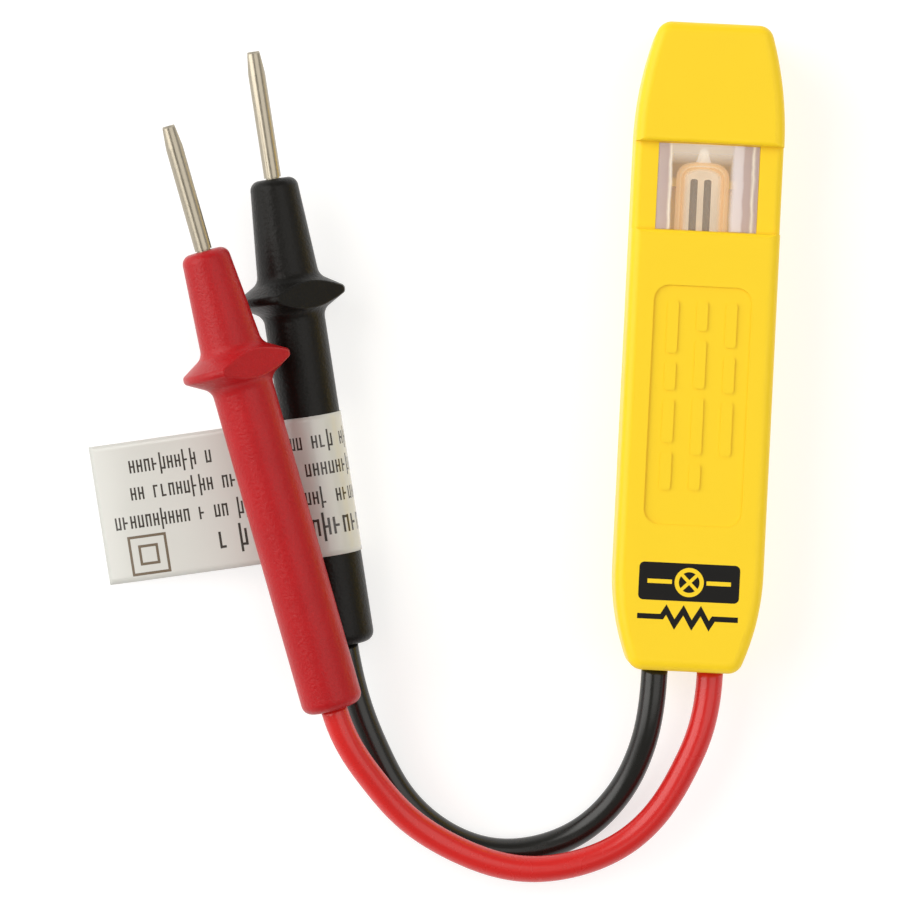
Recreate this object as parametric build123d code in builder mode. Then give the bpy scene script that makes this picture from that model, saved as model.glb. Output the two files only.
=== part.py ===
from build123d import *
import os
from math import asin, cos, degrees, pi, radians, sin, tan

# A two-probe neon circuit tester: a two-shell housing with a neon lamp behind a
# clear window, two flexible leads and two pin probes. It lies on its back, with
# the leads curling round in a U and the red probe lying across the black one.
#
# The origin is the middle of the housing's back face. +Y runs towards the lamp
# end, +X to the right and +Z out of the window. All sizes are in millimetres.

os.makedirs("parts", exist_ok=True)

# ---------------------------------------------------------------- housing sizes
HOUSING_LENGTH = 75.4
HOUSING_WIDTH = 17.3
HOUSING_DEPTH = 12.6
PARTING = HOUSING_DEPTH / 2          # height at which the two shells meet
WALL = 1.5
EDGE_ROUND = 1.2
END_CORNER = 1.8
LAMP_END_START = 24.0                # where the sides begin to curve in
LAMP_END_RADIUS = 42.0
LEAD_END_START = -26.0
LEAD_END_RADIUS = 29.0

NOTCH_LOW = 13.5                     # the notch across the front face, along Y
NOTCH_HIGH = 23.7
NOTCH_DEPTH = 1.5
NOTCH_EDGE_ROUND = 0.45
RAIL_ROUND = 0.9
WINDOW_WIDTH = 11.8

PANEL_WIDTH = 11.4                   # shallow panel with raised bars
PANEL_LENGTH = 27.8
PANEL_MIDDLE = -6.8
PANEL_DEPTH = 0.3
PANEL_CORNER = 1.8
BAR_HEIGHT = 0.2
BAR_WIDTH = 1.3
BAR_COLUMNS = (
    (-3.4, (6.1, 3.2, 5.0, 4.4)),    # X of a column, then the lengths of its bars
    (0.0, (3.4, 5.6, 6.6, 3.0)),
    (3.4, (5.2, 4.2, 6.2)),
)
BAR_GAP = 1.1

TONGUE_HEIGHT = 0.8                  # the back shell's rim stands up into the front one
TONGUE_INSET = 0.8
TONGUE_CLEARANCE = 0.06

PEG_RADIUS = 0.8
PEG_BOSS_RADIUS = 1.45
PEG_BOSS_TOP = PARTING - 1.0
PEG_BOTTOM = 4.0
PEG_STATIONS = (-33.4, -10.0, 31.0)

# ---------------------------------------------------------------- lamp and lens
LENS_WALL = 1.2
LENS_CROWN = 0.9
LENS_FLANGE = 0.95
LENS_FIT = 0.06
LAMP_X = -0.4
LAMP_RADIUS = 3.1
LAMP_TOP = 21.7
LAMP_GLASS = 0.5
LAMP_CORNER = 0.55                   # round of the closed end, as a share of the radius
LAMP_PIP_RADIUS = 1.1                # the glass tip left where the bulb was sealed
LAMP_PIP_LENGTH = 1.8
LAMP_SHOULDER = 12.3
LAMP_FOOT = 7.5
LAMP_FOOT_RADIUS = 1.9
PINCH_TOP = 11.2
ELECTRODE_DIAMETER = 0.87
ELECTRODE_TOP = 19.8
ELECTRODE_SPACING = 1.6
ELECTRODE_SHIFT = -0.2               # the pair stands a little off the lamp's middle
WIRE_DIAMETER = 0.5
SADDLE_STATIONS = (12.7, 19.4)

# ------------------------------------------------------------- wiring in the housing
LEAD_X = 3.25                        # each lead's distance from the middle
SPLICE_LENGTH = 5.0
SPLICE_RADIUS = 1.1
SPLICE_BORE = 0.66
BLACK_SPLICE = -2.0                  # middles of the three crimps, along Y
LAMP_SPLICE = -0.5
RED_SPLICE = -17.5
RESISTOR_TOP = -4.5
RESISTOR_LENGTH = 9.0
RESISTOR_RADIUS = 1.6
RESISTOR_WAIST = 1.4
RESISTOR_WIRE = 0.6
BARE_LENGTH = 4.4                    # bare strands beyond a lead's insulation
STRAND_DIAMETER = 0.39
STRAND_PITCH = 0.4
RIB_STATIONS = (-30.8, -28.2, -25.6)
RIB_THICKNESS = 1.0
RIB_WIDTH = 12.4

# ----------------------------------------------------------------------- probes
HANDLE_LENGTH = 55.3
GRIP_RADIUS = 3.575
GUARD_STATION = 41.4                 # distance of the guard from the rear end
GUARD_RADIUS = 6.4
GUARD_RIM = 0.75
GUARD_BASE = 4.1
NOSE_BACK_RADIUS = 3.65
NOSE_FRONT_RADIUS = 2.75
REAR_ROUND = 1.2
GUARD_ROOT_ROUND = 1.5
GUARD_RIM_ROUND = 0.55
NOSE_ROUND = 1.15
FLAT_DISTANCE = 4.43                 # the guard's two flats, from the axis
FLAT_ROLL = 34.0
FLAT_EDGE_ROUND = 0.25
PIN_RADIUS = 1.0
PIN_REACH = 15.0                     # how far the pin stands out of the handle
PIN_TIP = 2.7
PIN_TIP_HALF = 0.7
PIN_TIP_RADIUS = 0.93
NECK_RADIUS = 0.8                     # a retaining groove that the handle is moulded into
NECK_INSIDE = 1.2
NECK_OUTSIDE = 0.15
PIN_END_BEVEL = 0.25
PIN_BACK = 24.0
BARREL_SEAT = 30.0
BARREL_LENGTH = 10.0
BARREL_RADIUS = 1.5
INSULATION_IN_HANDLE = 16.0
BORE_CLEARANCE = 0.04

# ------------------------------------------------------------------------ label
LABEL_START = 10.8
LABEL_HEIGHT = 16.5
LABEL_WRAP = 0.24
LABEL_FLAG = 0.3
LABEL_REACH = 26.4                   # free edge's distance from the handle's axis
LABEL_DROOP = 3.2

# ------------------------------------------------------------------------ leads
LEAD_DIAMETER = 3.1
ARC_SHARE = 0.45                     # share of the shorter run that an arc may use
FLEX_CLEARANCE = 0.3


def probe_place(rear, heading, climb):
    """The plane across a probe at its rear end: z to the tip, x to the left, y up.

    heading is the turn to the left of +Y, climb the rise towards the tip, in degrees.
    """
    turn, rise = radians(heading), radians(climb)
    axis = Vector(-sin(turn) * cos(rise), cos(turn) * cos(rise), sin(rise))
    return Plane(origin=rear, x_dir=Vector(-cos(turn), -sin(turn), 0), z_dir=axis)


BLACK_PLACE = probe_place((-39.7, -36.7, 3.66), 11.5, 3.7)
RED_PLACE = probe_place((-40.5, -44.0, 10.0), 18.5, 4.6)


def behind(place, distance):
    """The point straight behind a handle's rear end."""
    return tuple(place.origin - place.z_dir * distance)


# The free leads, from the housing's end wall to the handle. Each flexes about the
# middle of the run that starts at its FLEX corner.
BLACK_ROUTE = [
    (-LEAD_X, -HOUSING_LENGTH / 2, PARTING),
    (-LEAD_X, -42.8, PARTING),
    (-4.7, -48.2, 4.7),
    (-7.7, -53.6, 2.6),
    (-11.9, -57.5, 1.7),
    (-20.7, -60.0, 1.7),
    (-26.6, -58.7, 1.7),
    (-32.0, -54.9, 1.75),
    (-35.6, -49.3, 2.3),
    behind(BLACK_PLACE, 6.0),
    tuple(BLACK_PLACE.origin),
]
RED_ROUTE = [
    (LEAD_X, -HOUSING_LENGTH / 2, PARTING),
    (LEAD_X, -43.2, PARTING),
    (1.2, -49.0, 5.9),
    (-2.5, -54.9, 5.3),
    (-7.4, -59.3, 5.1),
    (-18.3, -61.9, 5.1),
    (-25.3, -60.2, 5.1),
    (-31.7, -56.7, 6.1),
    (-36.3, -51.8, 8.1),
    behind(RED_PLACE, 3.9),
    tuple(RED_PLACE.origin),
]
FLEX_CORNER = 4
BLACK_SWING = 20.0                   # widest swing of each probe, in degrees
RED_SWING = 60.0


def save(piece, name):
    """Label a finished piece and write it to its own file."""
    piece.label = name
    export_step(piece, f"parts/{name}.step")


# ---------------------------------------------------------------------- housing
def housing_outline(height, inset=0.0):
    """The housing's plan outline at a height, pulled in all round by an inset."""
    half_width = HOUSING_WIDTH / 2
    half_length = HOUSING_LENGTH / 2
    lamp_turn = degrees(asin((half_length - LAMP_END_START) / LAMP_END_RADIUS))
    lead_turn = degrees(asin((half_length + LEAD_END_START) / LEAD_END_RADIUS))
    with BuildSketch(Plane.XY.offset(height)) as outline:
        with BuildLine():
            side = Line((half_width, LEAD_END_START), (half_width, LAMP_END_START))
            lamp_end = JernArc(side @ 1, (0, 1), LAMP_END_RADIUS, lamp_turn)
            lead_end = JernArc(side @ 0, (0, -1), LEAD_END_RADIUS, -lead_turn)
            Line(lamp_end @ 1, (0, half_length))
            Line(lead_end @ 1, (0, -half_length))
            mirror(about=Plane.YZ)
        make_face()
        ends = outline.vertices().group_by(Axis.Y)
        corners = [v for end in (ends[0], ends[-1]) for v in end if abs(v.X) > 1]
        fillet(corners, END_CORNER)
        if inset:
            offset(amount=-inset)
    return outline.sketch


def lead_passages(top, bottom):
    """Two bores for the leads through the end wall and the ribs."""
    with BuildPart() as bores:
        with BuildSketch(Plane.XZ.offset(-bottom)):
            with Locations((-LEAD_X, PARTING), (LEAD_X, PARTING)):
                Circle(LEAD_DIAMETER / 2 + BORE_CLEARANCE)
        extrude(amount=bottom - top)
    return bores.part


NOTCH_LENGTH = NOTCH_HIGH - NOTCH_LOW
NOTCH_MIDDLE = (NOTCH_HIGH + NOTCH_LOW) / 2
NOTCH_FLOOR = HOUSING_DEPTH - NOTCH_DEPTH
ROOF = HOUSING_DEPTH - WALL
THIN_ROOF = NOTCH_FLOOR - WALL
PASSAGES = lead_passages(-45.0, RIB_STATIONS[-1] + RIB_THICKNESS)

with BuildPart() as housing_front:
    extrude(housing_outline(PARTING), amount=HOUSING_DEPTH - PARTING)
    fillet(housing_front.faces().sort_by(Axis.Z)[-1].edges(), EDGE_ROUND)
    extrude(housing_outline(PARTING, WALL), amount=ROOF - PARTING, mode=Mode.SUBTRACT)
    extrude(
        housing_outline(PARTING, TONGUE_INSET - TONGUE_CLEARANCE),
        amount=TONGUE_HEIGHT + TONGUE_CLEARANCE,
        mode=Mode.SUBTRACT,
    )
    # the roof drops under the notch, and the notch and the window are cut
    with Locations((0, NOTCH_MIDDLE, THIN_ROOF)):
        Box(
            HOUSING_WIDTH - WALL,
            NOTCH_LENGTH + 2 * WALL,
            HOUSING_DEPTH - WALL / 2 - THIN_ROOF,
            align=(Align.CENTER, Align.CENTER, Align.MIN),
        )
    with BuildSketch(Plane.YZ.offset(-HOUSING_WIDTH)):
        with BuildLine():
            step = Line((NOTCH_LOW, NOTCH_FLOOR), (NOTCH_LOW, HOUSING_DEPTH - NOTCH_EDGE_ROUND))
            lip = JernArc(step @ 1, (0, 1), NOTCH_EDGE_ROUND, 90)
            Polyline(
                lip @ 1,
                (NOTCH_LOW - NOTCH_EDGE_ROUND, HOUSING_DEPTH + 1),
                (NOTCH_MIDDLE, HOUSING_DEPTH + 1),
            )
            mirror(about=Plane.YZ.offset(NOTCH_MIDDLE))
            Line((NOTCH_LOW, NOTCH_FLOOR), (NOTCH_HIGH, NOTCH_FLOOR))
        make_face()
    extrude(amount=2 * HOUSING_WIDTH, mode=Mode.SUBTRACT)
    # the rails beside the window have rounded outer edges
    with BuildSketch(Plane.XZ.offset(-NOTCH_HIGH)):
        with BuildLine():
            rail = Line(
                (HOUSING_WIDTH / 2, NOTCH_FLOOR - RAIL_ROUND - 1),
                (HOUSING_WIDTH / 2, NOTCH_FLOOR - RAIL_ROUND),
            )
            crest = JernArc(rail @ 1, (0, 1), RAIL_ROUND, 90)
            Polyline(
                crest @ 1,
                (HOUSING_WIDTH / 2 - RAIL_ROUND, HOUSING_DEPTH),
                (HOUSING_WIDTH / 2 + 1, HOUSING_DEPTH),
                (HOUSING_WIDTH / 2 + 1, NOTCH_FLOOR - RAIL_ROUND - 1),
                rail @ 0,
            )
        make_face()
        mirror(about=Plane.YZ)
    extrude(amount=NOTCH_LENGTH, mode=Mode.SUBTRACT)
    with Locations((0, NOTCH_MIDDLE, PARTING)):
        Box(
            WINDOW_WIDTH,
            NOTCH_LENGTH - 2 * LENS_FIT,
            HOUSING_DEPTH,
            align=(Align.CENTER, Align.CENTER, Align.MIN),
            mode=Mode.SUBTRACT,
        )
    # the raised bars stand in their shallow panel
    with BuildSketch(Plane.XY.offset(HOUSING_DEPTH)):
        with Locations((0, PANEL_MIDDLE)):
            RectangleRounded(PANEL_WIDTH, PANEL_LENGTH, PANEL_CORNER)
    extrude(amount=-PANEL_DEPTH, mode=Mode.SUBTRACT)
    with BuildSketch(Plane.XY.offset(HOUSING_DEPTH - PANEL_DEPTH)):
        for column, lengths in BAR_COLUMNS:
            top = PANEL_MIDDLE + PANEL_LENGTH / 2 - 1.8
            for length in lengths:
                with Locations((column, top - length / 2)):
                    RectangleRounded(BAR_WIDTH, length, BAR_WIDTH * 0.3)
                top -= length + BAR_GAP
    extrude(amount=BAR_HEIGHT)
    # ribs that hold the leads, and the pegs that line the two shells up
    for station in RIB_STATIONS:
        with Locations((0, station, PARTING + 0.1)):
            Box(
                RIB_WIDTH,
                RIB_THICKNESS,
                ROOF - PARTING,
                align=(Align.CENTER, Align.CENTER, Align.MIN),
            )
    for station in PEG_STATIONS:
        with Locations((0, station, PEG_BOTTOM)):
            Cylinder(
                PEG_RADIUS,
                ROOF + 0.1 - PEG_BOTTOM,
                align=(Align.CENTER, Align.CENTER, Align.MIN),
            )
    add(PASSAGES, mode=Mode.SUBTRACT)

with BuildPart() as housing_back:
    extrude(housing_outline(0), amount=PARTING)
    fillet(housing_back.faces().sort_by(Axis.Z)[0].edges(), EDGE_ROUND)
    extrude(housing_outline(PARTING, TONGUE_INSET), amount=TONGUE_HEIGHT)
    extrude(
        housing_outline(WALL, WALL),
        amount=PARTING + TONGUE_HEIGHT - WALL,
        mode=Mode.SUBTRACT,
    )
    for station in RIB_STATIONS:
        with Locations((0, station, WALL - 0.1)):
            Box(
                RIB_WIDTH,
                RIB_THICKNESS,
                PARTING - WALL,
                align=(Align.CENTER, Align.CENTER, Align.MIN),
            )
    for station in PEG_STATIONS:
        with Locations((0, station, WALL - 0.1)):
            Cylinder(
                PEG_BOSS_RADIUS,
                PEG_BOSS_TOP - WALL + 0.1,
                align=(Align.CENTER, Align.CENTER, Align.MIN),
            )
        with Locations((0, station, PEG_BOTTOM - 0.3)):
            Cylinder(
                PEG_RADIUS + BORE_CLEARANCE,
                PARTING,
                align=(Align.CENTER, Align.CENTER, Align.MIN),
                mode=Mode.SUBTRACT,
            )
    # two saddles carry the lamp
    for station in SADDLE_STATIONS:
        with Locations((LAMP_X, station, WALL - 0.1)):
            Box(
                2 * LAMP_RADIUS + 2,
                RIB_THICKNESS,
                PARTING - WALL - 1.0,
                align=(Align.CENTER, Align.CENTER, Align.MIN),
            )
    with BuildSketch(Plane.XZ.offset(-SADDLE_STATIONS[-1] - RIB_THICKNESS)):
        with Locations((LAMP_X, PARTING)):
            Circle(LAMP_RADIUS + BORE_CLEARANCE)
    extrude(
        amount=SADDLE_STATIONS[-1] - SADDLE_STATIONS[0] + 2 * RIB_THICKNESS,
        mode=Mode.SUBTRACT,
    )
    add(PASSAGES, mode=Mode.SUBTRACT)

with BuildPart() as lens:
    # an open-ended channel with a crowned top, held by a flange under the window's edges
    half_window = WINDOW_WIDTH / 2 - LENS_FIT
    flange_top = THIN_ROOF - LENS_FIT
    with BuildSketch(Plane.XZ.offset(-NOTCH_HIGH + 2 * LENS_FIT)):
        with BuildLine():
            rim = Polyline(
                (-half_window, NOTCH_FLOOR - 0.1),
                (-half_window, flange_top - LENS_FLANGE),
                (half_window, flange_top - LENS_FLANGE),
                (half_window, NOTCH_FLOOR - 0.1),
            )
            ThreePointArc(rim @ 0, (0, NOTCH_FLOOR - 0.1 + LENS_CROWN), rim @ 1)
        make_face()
    extrude(amount=NOTCH_LENGTH - 4 * LENS_FIT)
    with Locations((0, NOTCH_MIDDLE, flange_top - LENS_FLANGE)):
        Box(
            WINDOW_WIDTH + 1.8,
            NOTCH_LENGTH + 1.8,
            LENS_FLANGE,
            align=(Align.CENTER, Align.CENTER, Align.MIN),
        )
    with Locations((0, NOTCH_MIDDLE - LENS_WALL, flange_top - LENS_FLANGE)):
        Box(
            WINDOW_WIDTH - 2 * LENS_WALL,
            NOTCH_LENGTH + 1.8,
            NOTCH_FLOOR - 0.8 - flange_top + LENS_FLANGE,
            align=(Align.CENTER, Align.CENTER, Align.MIN),
            mode=Mode.SUBTRACT,
        )

# ------------------------------------------------------------------- neon lamp
LAMP_PLANE = Plane(origin=(LAMP_X, 0, PARTING))
LAMP_AXIS = Axis((LAMP_X, 0, PARTING), (0, 1, 0))
ELECTRODE_SIDES = tuple(ELECTRODE_SHIFT + side * ELECTRODE_SPACING / 2 for side in (-1, 1))


def lamp_profile(radius, top, shoulder, foot_radius, foot):
    """Half of the lamp's outline: foot, shoulder, straight tube and blunt round end."""
    with BuildSketch(LAMP_PLANE) as half:
        with BuildLine():
            side = Polyline(
                (0, foot),
                (foot_radius, foot),
                (foot_radius, shoulder - (radius - foot_radius) * 1.4),
                (radius, shoulder),
                (radius, top - radius * LAMP_CORNER),
            )
            corner = JernArc(side @ 1, (0, 1), radius * LAMP_CORNER, 90)
            Polyline(corner @ 1, (0, top), (0, foot))
        make_face()
    return half.sketch


with BuildPart() as neon_bulb:
    revolve(
        lamp_profile(LAMP_RADIUS, LAMP_TOP, LAMP_SHOULDER, LAMP_FOOT_RADIUS, LAMP_FOOT),
        axis=LAMP_AXIS,
    )
    revolve(
        lamp_profile(
            LAMP_RADIUS - LAMP_GLASS,
            LAMP_TOP - LAMP_GLASS,
            LAMP_SHOULDER + LAMP_GLASS,
            LAMP_FOOT_RADIUS,
            PINCH_TOP,
        ),
        axis=LAMP_AXIS,
        mode=Mode.SUBTRACT,
    )
    with BuildSketch(LAMP_PLANE):
        with BuildLine():
            flank = Spline(
                (LAMP_PIP_RADIUS, LAMP_TOP - LAMP_GLASS / 2),
                (LAMP_PIP_RADIUS * 0.55, LAMP_TOP + LAMP_PIP_LENGTH * 0.55),
                (0, LAMP_TOP + LAMP_PIP_LENGTH),
                tangents=((-0.6, 1), (-1, 0)),
            )
            Polyline(flank @ 1, (0, LAMP_TOP - LAMP_GLASS / 2), flank @ 0)
        make_face()
    revolve(axis=LAMP_AXIS)
    with BuildSketch(Plane.XZ.offset(-LAMP_FOOT + 1)):
        with Locations(*[(LAMP_X + side, PARTING) for side in ELECTRODE_SIDES]):
            Circle(WIRE_DIAMETER / 2 + BORE_CLEARANCE)
    extrude(amount=-(PINCH_TOP - LAMP_FOOT + 2), mode=Mode.SUBTRACT)

with BuildPart() as lamp_electrodes:
    with BuildSketch(Plane.XZ.offset(-PINCH_TOP)):
        with Locations(*[(LAMP_X + side, PARTING) for side in ELECTRODE_SIDES]):
            Circle(ELECTRODE_DIAMETER / 2)
    extrude(amount=-(ELECTRODE_TOP - PINCH_TOP))
    fillet(lamp_electrodes.faces().group_by(Axis.Y)[-1].edges(), ELECTRODE_DIAMETER * 0.3)

with BuildPart() as lamp_wires:
    for side, splice in zip(ELECTRODE_SIDES, (BLACK_SPLICE, LAMP_SPLICE)):
        landing = LEAD_X if side > 0 else -LEAD_X
        with BuildLine(Plane.XY.offset(PARTING)) as run:
            FilletPolyline(
                (LAMP_X + side, PINCH_TOP),
                (LAMP_X + side, 6.3),
                (landing, splice + SPLICE_LENGTH / 2 + 1.2),
                (landing, splice + 0.3),
                radius=1.0,
            )
        with BuildSketch(Plane(origin=run.line @ 0, z_dir=run.line % 0)):
            Circle(WIRE_DIAMETER / 2)
        sweep(path=run.line)


# ------------------------------------------------------- wiring in the housing
def turned(x, outline):
    """A body turned about the line along Y at this X, halfway up the housing."""
    with BuildPart() as body:
        with BuildSketch(Plane(origin=(x, 0, PARTING))):
            with BuildLine():
                Polyline(*outline, close=True)
            make_face()
        revolve(axis=Axis((x, 0, PARTING), (0, 1, 0)))
    return body.part


def splice_crimp(x, middle):
    """A butt crimp: a short tube with two pinched rings."""
    half = SPLICE_LENGTH / 2
    pinch = SPLICE_RADIUS * 0.86
    return turned(x, [
        (SPLICE_BORE, middle - half),
        (SPLICE_RADIUS, middle - half),
        (SPLICE_RADIUS, middle - 1.7),
        (pinch, middle - 1.4),
        (pinch, middle - 0.8),
        (SPLICE_RADIUS, middle - 0.5),
        (SPLICE_RADIUS, middle + 0.5),
        (pinch, middle + 0.8),
        (pinch, middle + 1.4),
        (SPLICE_RADIUS, middle + 1.7),
        (SPLICE_RADIUS, middle + half),
        (SPLICE_BORE, middle + half),
    ])


with BuildPart() as splice_crimps:
    add(splice_crimp(-LEAD_X, BLACK_SPLICE))
    add(splice_crimp(LEAD_X, LAMP_SPLICE))
    add(splice_crimp(LEAD_X, RED_SPLICE))

with BuildPart() as splice_sleeve:
    half_sleeve = SPLICE_LENGTH / 2 + 0.8
    inside = SPLICE_RADIUS + BORE_CLEARANCE
    add(turned(-LEAD_X, [
        (inside, BLACK_SPLICE - half_sleeve),
        (inside + 0.3, BLACK_SPLICE - half_sleeve),
        (inside + 0.3, BLACK_SPLICE + half_sleeve),
        (inside, BLACK_SPLICE + half_sleeve),
    ]))

with BuildPart() as ballast_resistor:
    bottom = RESISTOR_TOP - RESISTOR_LENGTH
    add(turned(LEAD_X, [
        (0, bottom),
        (RESISTOR_RADIUS - 0.3, bottom),
        (RESISTOR_RADIUS, bottom + 0.4),
        (RESISTOR_RADIUS, bottom + 1.8),
        (RESISTOR_WAIST, bottom + 2.3),
        (RESISTOR_WAIST, RESISTOR_TOP - 2.3),
        (RESISTOR_RADIUS, RESISTOR_TOP - 1.8),
        (RESISTOR_RADIUS, RESISTOR_TOP - 0.4),
        (RESISTOR_RADIUS - 0.3, RESISTOR_TOP),
        (0, RESISTOR_TOP),
    ]))

with BuildPart() as resistor_wires:
    for bottom, top in (
        (RESISTOR_TOP, LAMP_SPLICE - 0.3),
        (RED_SPLICE + 0.3, RESISTOR_TOP - RESISTOR_LENGTH),
    ):
        with BuildSketch(Plane.XZ.offset(-bottom)):
            with Locations((LEAD_X, PARTING)):
                Circle(RESISTOR_WIRE / 2)
        extrude(amount=-(top - bottom))

for name, piece in (
    ("housing_front", housing_front),
    ("housing_back", housing_back),
    ("lens", lens),
    ("neon_bulb", neon_bulb),
    ("lamp_electrodes", lamp_electrodes),
    ("lamp_wires", lamp_wires),
    ("splice_crimps", splice_crimps),
    ("splice_sleeve", splice_sleeve),
    ("ballast_resistor", ballast_resistor),
    ("resistor_wires", resistor_wires),
):
    save(piece.part, name)


# ----------------------------------------------------------------------- probes
def along(place):
    """The plane that holds a probe's axis: x is the radius, y runs to the tip."""
    return Plane(origin=place.origin, x_dir=place.x_dir, z_dir=-place.y_dir)


def probe_handle(place):
    """A round grip, a rimmed guard with two flats, and a tapered nose, bored through."""
    with BuildPart() as handle:
        with BuildSketch(along(place)):
            with BuildLine():
                FilletPolyline(
                    (0, 0),
                    (GRIP_RADIUS, 0),
                    (GRIP_RADIUS, GUARD_STATION - GUARD_BASE / 2),
                    (GUARD_RADIUS, GUARD_STATION - GUARD_RIM / 2),
                    (GUARD_RADIUS, GUARD_STATION + GUARD_RIM / 2),
                    (NOSE_BACK_RADIUS, GUARD_STATION + GUARD_BASE / 2),
                    (NOSE_FRONT_RADIUS, HANDLE_LENGTH),
                    (0, HANDLE_LENGTH),
                    radius=[
                        REAR_ROUND,
                        GUARD_ROOT_ROUND,
                        GUARD_RIM_ROUND,
                        GUARD_RIM_ROUND,
                        GUARD_ROOT_ROUND,
                        NOSE_ROUND,
                    ],
                )
                Line((0, HANDLE_LENGTH), (0, 0))
            make_face()
        revolve(axis=Axis(place.origin, place.z_dir))
        roll = radians(FLAT_ROLL)
        guard = Plane(
            origin=place.offset(GUARD_STATION).origin,
            x_dir=place.x_dir * cos(roll) + place.y_dir * sin(roll),
            z_dir=place.z_dir,
        )
        flat_depth = GUARD_RADIUS
        with BuildSketch(guard):
            flat_middle = FLAT_DISTANCE + flat_depth / 2
            with Locations((0, flat_middle), (0, -flat_middle)):
                Rectangle(3 * GUARD_RADIUS, flat_depth)
        extrude(amount=GUARD_BASE, both=True, mode=Mode.SUBTRACT)
        flats = handle.faces().filter_by(GeomType.PLANE).filter_by(
            lambda face: abs(face.normal_at().dot(place.z_dir)) < 0.1
        )
        fillet(flats.edges(), FLAT_EDGE_ROUND)
        with BuildSketch(place):
            Circle(LEAD_DIAMETER / 2 + BORE_CLEARANCE)
        extrude(amount=BARREL_SEAT, mode=Mode.SUBTRACT)
        shank_end = HANDLE_LENGTH - NECK_INSIDE
        with BuildSketch(place.offset(BARREL_SEAT)):
            Circle(PIN_RADIUS + BORE_CLEARANCE)
        extrude(amount=shank_end + BORE_CLEARANCE - BARREL_SEAT, mode=Mode.SUBTRACT)
        with BuildSketch(place.offset(shank_end)):
            Circle(NECK_RADIUS + BORE_CLEARANCE)
        extrude(amount=NECK_INSIDE, mode=Mode.SUBTRACT)
    return handle.part


def probe_pin(place):
    """A round pin with a retaining groove and a tip that tapers between two flats."""
    tip = HANDLE_LENGTH + PIN_REACH
    with BuildPart() as pin:
        with BuildSketch(along(place)):
            with BuildLine():
                Polyline(
                    (0, PIN_BACK),
                    (PIN_RADIUS, PIN_BACK),
                    (PIN_RADIUS, HANDLE_LENGTH - NECK_INSIDE),
                    (NECK_RADIUS, HANDLE_LENGTH - NECK_INSIDE),
                    (NECK_RADIUS, HANDLE_LENGTH + NECK_OUTSIDE),
                    (PIN_RADIUS, HANDLE_LENGTH + NECK_OUTSIDE),
                    (PIN_RADIUS, tip - PIN_TIP),
                    (PIN_TIP_RADIUS, tip - PIN_END_BEVEL),
                    (PIN_TIP_RADIUS - PIN_END_BEVEL, tip),
                    (0, tip),
                    close=True,
                )
            make_face()
        revolve(axis=Axis(place.origin, place.z_dir))
        with BuildSketch(along(place)) as wedges:
            with BuildLine():
                Polyline(
                    (PIN_RADIUS, tip - PIN_TIP),
                    (PIN_TIP_HALF, tip),
                    (PIN_TIP_HALF, tip + 1),
                    (PIN_RADIUS + 1, tip + 1),
                    (PIN_RADIUS + 1, tip - PIN_TIP),
                    close=True,
                )
            make_face()
            mirror(about=Plane.YZ)
        extrude(amount=2 * PIN_RADIUS, both=True, mode=Mode.SUBTRACT)
    return pin.part


def crimp_barrel(place):
    """The stepped tube that joins the pin to the lead's strands."""
    back = BARREL_SEAT - BARREL_LENGTH
    with BuildPart() as barrel:
        with BuildSketch(place.offset(back)):
            Circle(BARREL_RADIUS)
        extrude(amount=BARREL_LENGTH - 0.05)
        fillet(barrel.edges(), 0.15)
        with BuildSketch(place.offset(back - 1)):
            Circle(SPLICE_BORE)
        extrude(amount=PIN_BACK - back + 1, mode=Mode.SUBTRACT)
        with BuildSketch(place.offset(PIN_BACK)):
            Circle(PIN_RADIUS + BORE_CLEARANCE)
        extrude(amount=BARREL_LENGTH, mode=Mode.SUBTRACT)
    return barrel.part


def bare_strands(place, length):
    """Seven copper strands side by side, running out along the plane's normal."""
    with BuildPart() as strands:
        with BuildSketch(place):
            Circle(STRAND_DIAMETER / 2)
            with PolarLocations(STRAND_PITCH, 6):
                Circle(STRAND_DIAMETER / 2)
        extrude(amount=length)
    return strands.part


def straight_lead(place, length):
    """A straight stretch of insulated lead along the plane's normal."""
    with BuildPart() as stretch:
        with BuildSketch(place):
            Circle(LEAD_DIAMETER / 2)
        extrude(amount=length)
    return stretch.part


# ------------------------------------------------------------------------ leads
def corner_radii(route):
    """The arc at each corner, as large as the two runs beside it allow."""
    runs = [Vector(end) - Vector(start) for start, end in zip(route, route[1:])]
    radii = []
    for before, after in zip(runs, runs[1:]):
        half_turn = radians(before.get_angle(after)) / 2
        radii.append(ARC_SHARE * min(before.length, after.length) / tan(half_turn))
    return radii


def lead_stretch(name, points, radii):
    """A tube along the points, with a domed end at the last one."""
    with BuildPart() as stretch:
        with BuildLine() as path:
            FilletPolyline(*points, radius=radii)
        with BuildSketch(Plane(origin=path.line @ 0, z_dir=path.line % 0)):
            Circle(LEAD_DIAMETER / 2)
        sweep(path=path.line)
        length = path.wire().length
        expected = length * pi * (LEAD_DIAMETER / 2) ** 2
        print(name, "length", round(length, 2), "radii", [round(r, 1) for r in radii])
        print("   volume", round(stretch.part.volume, 2), "section x length", round(expected, 2))
        with Locations(path.line @ 1):
            Sphere(LEAD_DIAMETER / 2)
    return stretch.part


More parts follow.
